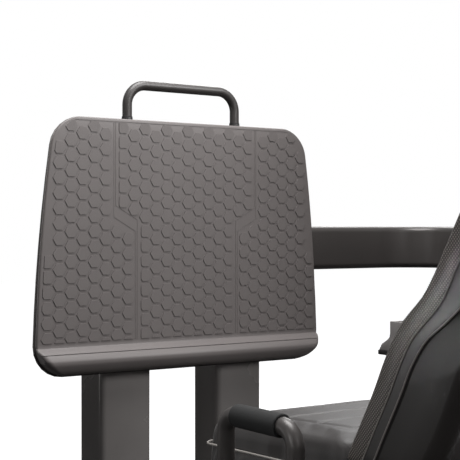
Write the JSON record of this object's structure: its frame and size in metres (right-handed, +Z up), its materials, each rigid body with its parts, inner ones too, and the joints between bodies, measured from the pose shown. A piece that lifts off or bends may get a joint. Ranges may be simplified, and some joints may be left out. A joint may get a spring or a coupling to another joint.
{
  "type": "leg press machine",
  "caption": "Seated leg press with a fixed upright footplate, a seat that slides back on rails with a reclining back, and a pin-selected weight stack in a side tower.",
  "frame": {"origin": "middle of the bounding box on the floor", "axes": "+Z up; +Y from the seat towards the footplate, the way the user faces; +X to the user's right, towards the weight tower"},
  "size_m": [1.309, 1.7898, 1.5],
  "materials": {
    "frame_paint": "satin warm dark grey powder coat",
    "plate_cover": "satin moulded taupe grey",
    "black_rubber": "matte",
    "bright_steel": "polished",
    "stack_steel": "dark painted, satin",
    "black_nylon": "satin",
    "upholstery": "coated upholstery with a fine dotted grain",
    "shell": "satin moulded dark grey",
    "tray_grey": "satin light grey"
  },
  "bodies": {
    "stand": {"base_spine": "frame_paint", "front_base_beam": "frame_paint", "rear_base_beam": "frame_paint", "link_beam": "frame_paint", "front_left_foot": "black_rubber", "front_right_foot": "black_rubber", "rear_left_foot": "black_rubber", "rear_right_foot": "black_rubber", "footplate_cover": "plate_cover", "footplate_backing": "frame_paint", "footplate_handle": "frame_paint", "left_post": "frame_paint", "left_post_cap": "black_nylon", "right_post": "frame_paint", "right_post_cap": "black_nylon", "post_tie": "frame_paint", "upper_beam": "frame_paint", "left_rail": "bright_steel", "right_rail": "bright_steel", "front_rail_support": "frame_paint", "rear_rail_support": "frame_paint", "link_pulley_axle": "bright_steel", "cable_carriage": "black_nylon", "cable_run": "black_nylon", "tower_base": "frame_paint", "tower_foot": "black_rubber", "tower_top": "frame_paint", "tower_front_column": "frame_paint", "tower_rear_column": "frame_paint", "outer_shroud": "frame_paint", "inner_shroud": "frame_paint", "guide_rod_yoke": "frame_paint", "front_guide_rod": "bright_steel", "rear_guide_rod": "bright_steel", "stack_cushion": "black_rubber", "resting_plates": "stack_steel", "base_pulley_axle": "bright_steel", "top_pulley_fork": "frame_paint", "cable_stack": "black_nylon", "accessory_tray": "tray_grey", "tray_base": "black_nylon"},
    "carriage": {"carriage_frame": "frame_paint", "left_bearing": "black_nylon", "right_bearing": "black_nylon", "seat_pan": "frame_paint", "seat_cushion": "upholstery", "left_seat_handle": "frame_paint", "right_seat_handle": "frame_paint", "recline_sector": "bright_steel", "recline_axle": "bright_steel"},
    "backrest": {"backrest_frame": "frame_paint", "backrest_shell": "shell", "backrest_pad": "upholstery"},
    "clamp_lever": {"recline_lever": "black_nylon"},
    "moving_stack": {"lifted_plates": "stack_steel", "selector_rod": "bright_steel"},
    "pin": {"selector_pin": "black_nylon"},
    "link_wheel": {"link_pulley": "black_nylon"},
    "base_wheel": {"base_pulley": "black_nylon"},
    "top_wheel": {"top_pulley": "black_nylon"}
  },
  "joints": [
    {"name": "carriage_slide", "type": "slide", "parent": "stand", "child": "carriage", "axis": [0, -1, 0], "range_m": [0, 0.45], "deforming": ["cable_carriage"]},
    {"name": "backrest_recline", "type": "hinge", "parent": "carriage", "child": "backrest", "pos_m": [-0.3055, -0.17995, 0.35], "axis": [1, 0, 0], "range_deg": [0, 20]},
    {"name": "clamp_lever_turn", "type": "hinge", "parent": "backrest", "child": "clamp_lever", "pos_m": [-0.3055, -0.32725, 0.37833], "axis": [1, 0, 0], "range_deg": [0, 75]},
    {"name": "stack_lift", "type": "slide", "parent": "stand", "child": "moving_stack", "axis": [0, 0, 1], "range_m": [0, 0.45], "deforming": ["cable_stack"]},
    {"name": "selector_pin_pull", "type": "slide", "parent": "moving_stack", "child": "pin", "axis": [-1, 0, 0], "range_m": [0, 0.055]},
    {"name": "link_pulley_spin", "type": "hinge", "parent": "stand", "child": "link_wheel", "pos_m": [-0.2655, 0.36705, 0.14], "axis": [0, 0, 1], "continuous": true},
    {"name": "base_pulley_spin", "type": "hinge", "parent": "stand", "child": "base_wheel", "pos_m": [0.4445, 0.40705, 0.18], "axis": [0, 1, 0], "continuous": true},
    {"name": "top_pulley_spin", "type": "hinge", "parent": "stand", "child": "top_wheel", "pos_m": [0.4845, 0.33105, 1.325], "axis": [1, 0, 0], "continuous": true}
  ],
  "couplings": [
    {"joint": "stack_lift", "follows": "carriage_slide", "ratio": 1},
    {"joint": "link_pulley_spin", "follows": "carriage_slide", "rad_per_m": 25},
    {"joint": "base_pulley_spin", "follows": "carriage_slide", "rad_per_m": 25},
    {"joint": "top_pulley_spin", "follows": "carriage_slide", "rad_per_m": -13.158}
  ]
}
